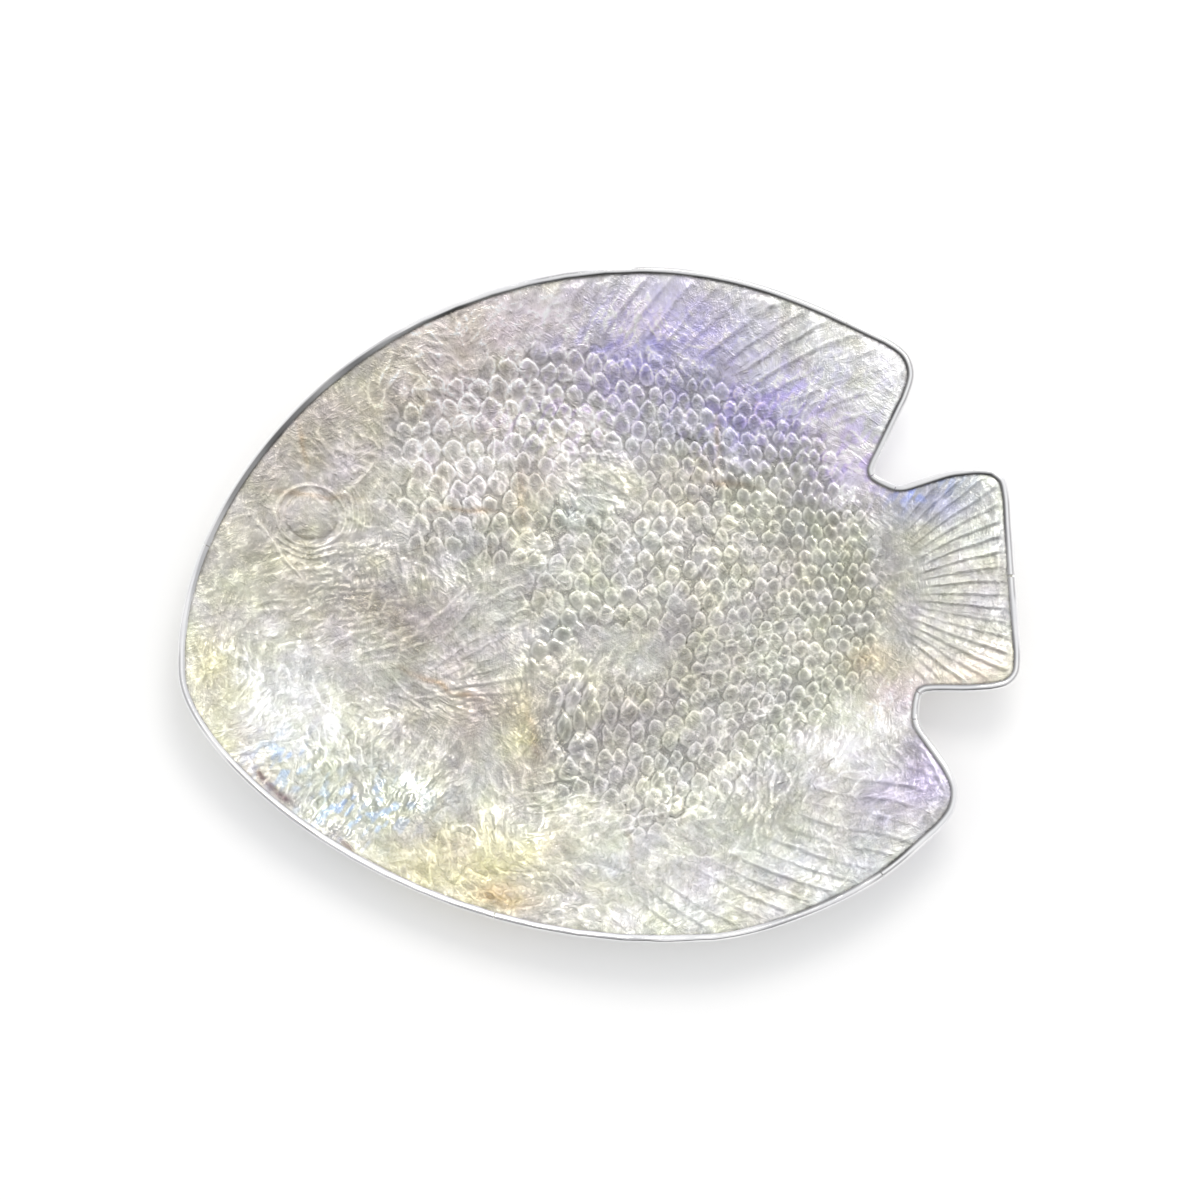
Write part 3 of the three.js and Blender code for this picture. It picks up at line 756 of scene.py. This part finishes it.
def smooth_edge():
    """Edge of the sheet: a smooth closed curve through the points of the film's outline."""
    points = corners_of(plan_loop("bond_film"))
    count = len(points)
    curve = []
    for k in range(count):
        p0, p1, p2, p3 = (points[(k + shift) % count] for shift in (-1, 0, 1, 2))
        t0 = 0.0
        t1 = t0 + math.sqrt(np.linalg.norm(p1 - p0))
        t2 = t1 + math.sqrt(np.linalg.norm(p2 - p1))
        t3 = t2 + math.sqrt(np.linalg.norm(p3 - p2))
        steps = max(2, math.ceil(np.linalg.norm(p2 - p1) / (0.5 * EDGE_STEP)))
        for t in t1 + (t2 - t1) * np.arange(steps) / steps:
            a1 = (t1 - t) / (t1 - t0) * p0 + (t - t0) / (t1 - t0) * p1
            a2 = (t2 - t) / (t2 - t1) * p1 + (t - t1) / (t2 - t1) * p2
            a3 = (t3 - t) / (t3 - t2) * p2 + (t - t2) / (t3 - t2) * p3
            b1 = (t2 - t) / (t2 - t0) * a1 + (t - t0) / (t2 - t0) * a2
            b2 = (t3 - t) / (t3 - t1) * a2 + (t - t1) / (t3 - t1) * a3
            curve.append((t2 - t) / (t2 - t1) * b1 + (t - t1) / (t2 - t1) * b2)
    return resample(np.array(curve), EDGE_STEP)


edge = smooth_edge()


def wandering(loop):
    """Lets the seams wander as hand-cut shell does, and leaves the sheet's own edge in place."""
    free = fade(1.0, 8.0, nearest_distance(loop, edge))
    x, y = loop[:, 0], loop[:, 1]
    shift = []
    for seed in (131, 133):
        shift.append(noise(x, y, 13.0, seed) - 0.5 + 0.3 * (noise(x, y, 4.0, seed + 1) - 0.5))
    return loop + 2.0 * SEAM_WANDER * free[:, None] * np.stack(shift, 1)


# Materials


class Nodes:
    """Short calls for building a material's node tree."""

    def __init__(self, name):
        self.material = bpy.data.materials.new(name)
        self.material.use_nodes = True
        self.tree = self.material.node_tree
        self.shader = self.tree.nodes["Principled BSDF"]

    def add(self, kind, **settings):
        node = self.tree.nodes.new(kind)
        for key, value in settings.items():
            setattr(node, key, value)
        return node

    def link(self, source, target):
        self.tree.links.new(source, target)

    def set(self, **values):
        for key, value in values.items():
            self.shader.inputs[key.replace("_", " ")].default_value = value

    def place(self, stretch, turn=0.0):
        """Object coordinates turned about the upright axis, then drawn out along each axis."""
        where = self.add("ShaderNodeTexCoord")
        mapping = self.add("ShaderNodeMapping", vector_type="TEXTURE")
        mapping.inputs["Scale"].default_value = stretch
        mapping.inputs["Rotation"].default_value = (0.0, 0.0, math.radians(turn))
        self.link(where.outputs["Object"], mapping.inputs["Vector"])
        return mapping.outputs["Vector"]

    def noise(self, place, scale, detail=4.0, roughness=0.55, distortion=0.0):
        node = self.add("ShaderNodeTexNoise")
        node.inputs["Scale"].default_value = scale
        node.inputs["Detail"].default_value = detail
        node.inputs["Roughness"].default_value = roughness
        node.inputs["Distortion"].default_value = distortion
        self.link(place, node.inputs["Vector"])
        return node.outputs["Fac"]

    def ramp(self, value, low, high, to_low, to_high):
        """Maps a value from one range to another."""
        node = self.add("ShaderNodeMapRange")
        node.inputs["From Min"].default_value = low
        node.inputs["From Max"].default_value = high
        node.inputs["To Min"].default_value = to_low
        node.inputs["To Max"].default_value = to_high
        self.link(value, node.inputs["Value"])
        return node.outputs["Result"]

    def math(self, operation, a, b):
        node = self.add("ShaderNodeMath", operation=operation)
        for socket, value in zip(node.inputs, (a, b)):
            if isinstance(value, float):
                socket.default_value = value
            else:
                self.link(value, socket)
        return node.outputs["Value"]

    def tinted(self, colour, factor, tint, blend):
        """Blends a tint over a colour by a factor."""
        node = self.add("ShaderNodeMix", data_type="RGBA", blend_type=blend)
        self.link(factor, node.inputs["Factor"])
        self.link(colour, node.inputs["A"])
        if isinstance(tint, tuple):
            node.inputs["B"].default_value = (*srgb(tint), 1.0)
        else:
            self.link(tint, node.inputs["B"])
        return node.outputs["Result"]

    def folds(self, plain):
        """Hair-fine folds, drawn out along one of three directions that take turns over the surface."""
        total = None
        for k, turn in enumerate((20.0, 80.0, 140.0)):
            lane = self.noise(self.place((3.3, 1.0, 1.0), turn), 560.0, 4.0, 0.62, 0.8)
            fold = self.math("ABSOLUTE", self.math("SUBTRACT", lane, 0.5), 0.0)
            share = self.ramp(self.noise(plain, 57.0 + 9.0 * k, 2.0), 0.4, 0.6, 0.1, 1.0)
            part = self.math("MULTIPLY", fold, share)
            total = part if total is None else self.math("ADD", total, part)
        return total

    def bump(self, height, strength, distance):
        node = self.add("ShaderNodeBump")
        node.inputs["Strength"].default_value = strength
        node.inputs["Distance"].default_value = distance
        self.link(height, node.inputs["Height"])
        self.link(node.outputs["Normal"], self.shader.inputs["Normal"])


def pearl_material(name, metallic, low_rough, high_rough, coat, grain):
    """Lacquered shell: painted tint, cloudy patches, fine white flecks as painted glints, creased skin
    and an uneven gloss.
    """
    m = Nodes(name)
    tint = m.add("ShaderNodeVertexColor", layer_name="Tint").outputs["Color"]
    plain = m.place((1.0, 1.0, 1.0))
    cloud = m.noise(plain, 70.0, 5.0, 0.6, 0.4)
    # Brownish dirt in fine specks
    darkening = m.noise(plain, 420.0, 5.0, 0.62, 0.8)
    glint_flecks = m.noise(plain, 1100.0, 3.0, 0.6)
    colour = m.tinted(tint, m.ramp(darkening, 0.5, 0.7, 0.0, 0.22), (150, 136, 118), "MIX")
    colour = m.tinted(colour, m.ramp(cloud, 0.5, 0.75, 0.0, 0.25), (232, 226, 236), "MIX")
    # Fine white flecks as painted glints
    colour = m.tinted(colour, m.ramp(glint_flecks, 0.56, 0.72, 0.0, 0.3), (246, 242, 230), "MIX")
    m.link(colour, m.shader.inputs["Base Color"])
    gloss = m.noise(plain, 260.0, 4.0, 0.6)
    m.link(m.ramp(gloss, 0.3, 0.7, low_rough, high_rough), m.shader.inputs["Roughness"])
    folds = m.folds(plain)
    m.bump(folds, grain, 0.0016)
    m.set(Metallic=metallic, IOR=1.55)
    m.shader.inputs["Coat Weight"].default_value = coat
    m.shader.inputs["Coat Roughness"].default_value = 0.06
    return m.material


def resin_material():
    """Amber bonding resin with cloudy patches."""
    m = Nodes("Bonding resin")
    plain = m.place((1.0, 1.0, 1.0))
    cloud = m.noise(plain, 90.0, 5.0, 0.6, 0.3)
    base = m.add("ShaderNodeValToRGB")
    base.color_ramp.elements[0].color = (*srgb((128, 98, 62)), 1.0)
    base.color_ramp.elements[1].color = (*srgb((186, 160, 116)), 1.0)
    m.link(cloud, base.inputs["Fac"])
    m.link(base.outputs["Color"], m.shader.inputs["Base Color"])
    m.link(m.ramp(m.noise(plain, 400.0), 0.3, 0.7, 0.2, 0.45), m.shader.inputs["Roughness"])
    m.bump(m.noise(plain, 900.0), 0.1, 0.0003)
    return m.material


def rim_material():
    """Polished white metal with faint rub marks and dull patches."""
    m = Nodes("Polished rim metal")
    plain = m.place((1.0, 1.0, 1.0))
    patches = m.noise(plain, 55.0, 4.0, 0.6, 0.3)
    base = m.add("ShaderNodeValToRGB")
    base.color_ramp.elements[0].position = 0.3
    base.color_ramp.elements[0].color = (*srgb((236, 236, 238)), 1.0)
    base.color_ramp.elements[1].position = 0.7
    base.color_ramp.elements[1].color = (*srgb((252, 251, 250)), 1.0)
    m.link(patches, base.inputs["Fac"])
    # Colour from the mesh: dirt with painted shade on the inner side and a painted grey reflection line
    # on top
    darkening = m.add("ShaderNodeVertexColor", layer_name="Tint").outputs["Color"]
    blend = m.add("ShaderNodeMix", data_type="RGBA", blend_type="MULTIPLY")
    blend.inputs["Factor"].default_value = 1.0
    m.link(base.outputs["Color"], blend.inputs["A"])
    m.link(darkening, blend.inputs["B"])
    m.link(blend.outputs["Result"], m.shader.inputs["Base Color"])
    scratches = m.noise(m.place((1.7, 1.7, 0.33)), 1400.0, 4.0, 0.7)
    rough = m.math("ADD", m.ramp(patches, 0.35, 0.7, 0.03, 0.1), m.ramp(scratches, 0.5, 0.8, 0.0, 0.08))
    m.link(rough, m.shader.inputs["Roughness"])
    m.bump(m.math("ADD", scratches, m.noise(plain, 220.0, 3.0)), 0.08, 0.0004)
    m.set(Metallic=0.85)
    return m.material


# Pieces


def above_bowl(rise):
    """Height function a fixed rise above the bowl surface."""
    return lambda x, y: bowl_height(x, y) + rise


def leaf_shade(k, count, stride, darkest):
    """Shade of one leaf out of count, so that neighbours in the list differ."""
    return darkest + SHADE_SPREAD * ((k * stride) % count) / (count - 1.0)


def rim_dirt_and_shade(x, y):
    """Strength of the dark line where rim and shell meet, dirt with painted shade: patchy, and strongest
    along the back.
    """
    back = np.maximum(fade(-40.0, 10.0, y + 0.3 * x), fade(30.0, 60.0, x))
    return (0.3 + 0.6 * back) * (0.5 + 0.7 * noise(x, y, 11.0, 115))


def add_face(material):
    """Pressed shell leaves of the face, each with its share of the fish relief."""
    names = sorted(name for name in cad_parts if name.startswith("face_"))
    for k, name in enumerate(names):
        loop = wandering(resample(grow(plan_loop(name), SEAM_GROW), FACE_STEP))
        top, top_faces = skin(loop, FACE_STEP, above_bowl(FACE_TOP))
        bottom = skin(loop, INNER_STEP, above_bowl(FACE_BASE))
        height, painted_light = relief(top[:, 0], top[:, 1])
        to_edge = nearest_distance(top[:, :2], edge)
        top[:, 2] += height * fade(RIM_LIP + 0.3, RIM_LIP + 3.0, to_edge)
        top[:, 2] = np.minimum(top[:, 2], CREST_LIMIT)
        spots, faces = sheet_solid((top, top_faces), bottom, len(loop))
        piece = new_piece(f"{name}_leaf", spots, faces, material, LEAF_SMOOTH)
        painted_light = np.concatenate([painted_light, np.zeros(len(bottom[0]))])
        shade = leaf_shade(k, len(names), 7, 0.94)
        tint = pearl_tint(spots[:, 0], spots[:, 1], painted_light, shade)
        # Dark line on the shell along the rim's lip: dirt with painted shade
        lip_dirt_and_shade = np.exp(-(((to_edge - RIM_LIP) / 0.45) ** 2)) * rim_dirt_and_shade(top[:, 0], top[:, 1])
        tint[: len(top)] *= 1.0 - lip_dirt_and_shade[:, None]
        paint(piece, tint)
        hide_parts(name)


def add_back(material):
    """Smooth shell leaves of the underside."""
    names = sorted(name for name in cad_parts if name.startswith("back_"))
    for k, name in enumerate(names):
        loop = wandering(resample(grow(plan_loop(name), SEAM_GROW), BACK_STEP))
        top = skin(loop, INNER_STEP, above_bowl(BACK_TOP))
        bottom, bottom_faces = skin(loop, BACK_STEP, above_bowl(0.0))
        x, y = bottom[:, 0], bottom[:, 1]
        pressed = fade(0.5, 0.62, bowl_share(x, y)) * (1.0 - fade(0.9, 1.0, bowl_share(x, y)))
        bottom[:, 2] += BACK_HEIGHT * pressed * (crumple(x, y, 9.0, 141) - 0.5)
        spots, faces = sheet_solid(top, (bottom, bottom_faces), len(loop))
        piece = new_piece(f"{name}_leaf", spots, faces, material, LEAF_SMOOTH)
        x, y = spots[:, 0], spots[:, 1]
        shade = leaf_shade(k, len(names), 4, 0.92)
        # Painted highlight on the crests and painted shade in the hollows of the pressed underside
        paint(piece, pearl_tint(x, y, 0.3 + 0.3 * crumple(x, y, 9.0, 141), shade))
        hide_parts(name)


def add_film(material):
    """Resin film between the two layers of shell."""
    loop = resample(plan_loop("bond_film"), BACK_STEP)
    top = skin(loop, INNER_STEP, above_bowl(FILM_TOP))
    bottom = skin(loop, INNER_STEP, above_bowl(FILM_BASE))
    spots, faces = sheet_solid(top, bottom, len(loop))
    piece = new_piece("bond_film_sheet", spots, faces, material, LEAF_SMOOTH)
    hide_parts("bond_film")


def rim_section():
    """Folded strip: distance out from the sheet edge and height above the bowl surface."""
    inner_top = FACE_TOP + RIM_SEAT - RIM_INSET
    inner_low = -RIM_SEAT + RIM_INSET
    section = [(-RIM_LIP, inner_top), (RIM_SEAT, inner_top), (RIM_SEAT, inner_low), (-RIM_LIP, inner_low)]
    middle = (RIM_OUT - RIM_LIP) / 2.0
    half = (RIM_OUT + RIM_LIP) / 2.0
    outer_height = (RIM_LOW + RIM_HIGH) / 2.0
    for degrees in range(-165, 180, 15):
        angle = math.radians(degrees)
        lift = math.sin(angle)
        if abs(degrees) <= 90:
            rise = outer_height + (RIM_HIGH - outer_height) * lift
        elif degrees > 0:
            rise = inner_top + (RIM_HIGH - inner_top) * lift
        else:
            rise = inner_low + (inner_low - RIM_LOW) * lift
        section.append((middle + half * math.cos(angle), rise))
    return np.array(section)


def strip_stations(node):
    """First and last station of a rim strip along the edge, and how many lie between."""
    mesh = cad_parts[node].data
    spots = np.array([vertex.co[:2] for vertex in mesh.vertices]) / MM
    near = sorted({int(((edge - spot) ** 2).sum(1).argmin()) for spot in spots})
    gaps = [(near[(k + 1) % len(near)] - index) % len(edge) for k, index in enumerate(near)]
    widest = int(np.argmax(gaps))
    first, last = near[(widest + 1) % len(near)], near[widest]
    return first, (last - first) % len(edge)


def add_rim(material):
    """Strips of folded metal, butted end to end, with dirt and painted shade at the inner edge and a
    painted grey reflection line on top.
    """
    section = rim_section()
    count = len(section)
    along = np.roll(edge, -2, axis=0) - np.roll(edge, 2, axis=0)
    along /= np.linalg.norm(along, axis=1)[:, None]
    outward = np.stack([along[:, 1], -along[:, 0]], 1)
    names = sorted(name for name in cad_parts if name.startswith("rim_"))
    for name in names:
        first, span = strip_stations(name)
        stations = (first + np.arange(span + 1)) % len(edge)
        line = edge[stations].copy()
        line[0] += along[stations[0]] * RIM_GAP
        line[-1] -= along[stations[-1]] * RIM_GAP
        spots = []
        for spot, out in zip(line, outward[stations]):
            plan = spot + section[:, :1] * out
            x, y = plan[:, 0], plan[:, 1]
            rise = bowl_height(x, y) + section[:, 1]
            dent = RIM_DENT * noise(x, y, 4.0, 151) * noise(x, y, 13.0, 152)
            rise = rise - np.where(section[:, 1] > FACE_TOP + RIM_SEAT, dent, 0.0)
            spots.append(np.column_stack([plan, rise]))
        spots = np.concatenate(spots)
        faces = []
        for k in range(span):
            for i in range(count):
                a, b = k * count + i, k * count + (i + 1) % count
                faces.append((a, b, b + count, a + count))
        faces.append(tuple(reversed(range(count))))
        faces.append(tuple(span * count + i for i in range(count)))
        piece = new_piece(f"{name}_strip", spots, faces, material, RIM_SMOOTH)
        # Rim colour: painted shade along the inner side, wider along the upper front and mixed with dirt
        # where rim and shell meet, and a painted grey reflection line along the top, broken into patches
        brow = fade(0.0, 30.0, spots[:, 1]) * (1.0 - fade(-70.0, -30.0, spots[:, 0]))
        inner = 1.0 - fade(-0.35, 0.0, np.tile(section[:, 0], len(line)) + RIM_LIP - 0.75 - 0.8 * brow)
        painted_reflection_line = np.exp(-(((section[:, 0] - 0.35) / 0.25) ** 2)) * (section[:, 1] > FACE_TOP)
        white = 1.0 - 0.85 * inner * rim_dirt_and_shade(spots[:, 0], spots[:, 1])
        reflection_patches = fade(0.3, 0.6, noise(spots[:, 0], spots[:, 1], 15.0, 153))
        white = white - 0.5 * np.tile(painted_reflection_line, len(line)) * reflection_patches
        paint(piece, np.repeat(white[:, None], 3, axis=1))
        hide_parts(name)


# Stage


def seen_directly(tree):
    """1 for rays from the camera and for those mirrored or passed on, else 0."""
    path = tree.nodes.new("ShaderNodeLightPath")
    first = tree.nodes.new("ShaderNodeMath")
    first.operation = "MAXIMUM"
    second = tree.nodes.new("ShaderNodeMath")
    second.operation = "MAXIMUM"
    tree.links.new(path.outputs["Is Camera Ray"], first.inputs[0])
    tree.links.new(path.outputs["Is Glossy Ray"], first.inputs[1])
    tree.links.new(first.outputs["Value"], second.inputs[0])
    tree.links.new(path.outputs["Is Transmission Ray"], second.inputs[1])
    return second.outputs["Value"]


def add_floor():
    """White floor that keeps the shadow of the dish."""
    size = 3.0
    mesh = bpy.data.meshes.new("Floor")
    corners = [(-size, -size, 0.0), (size, -size, 0.0), (size, size, 0.0), (-size, size, 0.0)]
    mesh.from_pydata(corners, [], [(0, 1, 2, 3)])
    floor = bpy.data.objects.new("Floor", mesh)
    bpy.context.scene.collection.objects.link(floor)
    material = bpy.data.materials.new("White floor")
    material.use_nodes = True
    tree = material.node_tree
    tree.nodes.clear()
    out = tree.nodes.new("ShaderNodeOutputMaterial")
    both = tree.nodes.new("ShaderNodeAddShader")
    matt = tree.nodes.new("ShaderNodeBsdfDiffuse")
    matt.inputs["Color"].default_value = (0.9, 0.9, 0.9, 1.0)
    glow = tree.nodes.new("ShaderNodeEmission")
    seen = seen_directly(tree)
    level = tree.nodes.new("ShaderNodeMath")
    level.operation = "MULTIPLY"
    level.inputs[1].default_value = FLOOR_GLOW
    tree.links.new(seen, level.inputs[0])
    tree.links.new(level.outputs["Value"], glow.inputs["Strength"])
    tree.links.new(matt.outputs["BSDF"], both.inputs[0])
    tree.links.new(glow.outputs["Emission"], both.inputs[1])
    tree.links.new(both.outputs["Shader"], out.inputs["Surface"])
    mesh.materials.append(material)


def facing(tree, direction, source, levels):
    """A slope between two levels by how far a view points along a direction."""
    where = tree.nodes.new("ShaderNodeTexCoord")
    aim = tree.nodes.new("ShaderNodeVectorMath")
    aim.operation = "DOT_PRODUCT"
    aim.inputs[1].default_value = direction
    step = tree.nodes.new("ShaderNodeMapRange")
    step.inputs["From Min"].default_value, step.inputs["From Max"].default_value = source
    step.inputs["To Min"].default_value, step.inputs["To Max"].default_value = levels
    tree.links.new(where.outputs["Generated"], aim.inputs[0])
    tree.links.new(aim.outputs["Value"], step.inputs["Value"])
    return step.outputs["Result"]


def add_world():
    """Soft grey surround; seen directly it is white."""
    world = bpy.data.worlds.new("Studio")
    bpy.context.scene.world = world
    world.use_nodes = True
    tree = world.node_tree
    tree.nodes.clear()
    out = tree.nodes.new("ShaderNodeOutputWorld")
    background = tree.nodes.new("ShaderNodeBackground")
    background.inputs["Color"].default_value = (0.98, 0.985, 1.0, 1.0)
    glow = tree.nodes.new("ShaderNodeMath")
    glow.operation = "MULTIPLY_ADD"
    tree.links.new(facing(tree, DOME_LEAN, DOME_RANGE, DOME_LEVELS), glow.inputs[0])
    tree.links.new(facing(tree, DARK_SIDE, DARK_RANGE, DARK_LEVELS), glow.inputs[1])
    tree.links.new(facing(tree, BRIGHT_SIDE, SIDE_RANGE, SIDE_LEVELS), glow.inputs[2])
    path = tree.nodes.new("ShaderNodeLightPath")
    level = tree.nodes.new("ShaderNodeMapRange")
    level.inputs["To Max"].default_value = 1.0
    tree.links.new(glow.outputs["Value"], level.inputs["To Min"])
    tree.links.new(path.outputs["Is Camera Ray"], level.inputs["Value"])
    tree.links.new(level.outputs["Result"], background.inputs["Strength"])
    tree.links.new(background.outputs["Background"], out.inputs["Surface"])


def add_key():
    """Soft lamp behind the dish that puts glints on the folds."""
    light = bpy.data.lights.new("Key", "AREA")
    light.shape = "RECTANGLE"
    light.size, light.size_y = KEY_SIZE
    light.energy = KEY_WATTS
    light.color = KEY_COLOUR
    lamp = bpy.data.objects.new("Key", light)
    lamp.location = KEY_PLACE
    lamp.visible_camera = False
    aim = Vector(KEY_AIM) - Vector(KEY_PLACE)
    lamp.rotation_euler = aim.to_track_quat("-Z", "Y").to_euler()
    bpy.context.scene.collection.objects.link(lamp)


def add_camera():
    data = bpy.data.cameras.new("Camera")
    data.lens = LENS
    data.sensor_width = SENSOR
    data.clip_start = 0.01
    camera = bpy.data.objects.new("Camera", data)
    back = Vector(
        (
            math.sin(AZIMUTH) * math.cos(ELEVATION),
            -math.cos(AZIMUTH) * math.cos(ELEVATION),
            math.sin(ELEVATION),
        )
    )
    camera.location = AIM + back * FRAME_WIDTH * LENS / SENSOR
    camera.rotation_euler = (-back).to_track_quat("-Z", "Y").to_euler()
    bpy.context.scene.collection.objects.link(camera)
    bpy.context.scene.camera = camera


face_pearl = pearl_material("Pearl shell face", 0.72, 0.08, 0.18, 0.35, 0.6)
back_pearl = pearl_material("Pearl shell back", 0.3, 0.3, 0.48, 0.2, 0.25)
add_face(face_pearl)
add_back(back_pearl)
add_film(resin_material())
add_rim(rim_material())
add_floor()
add_world()
add_key()
add_camera()
bpy.context.scene.view_settings.view_transform = "Standard"
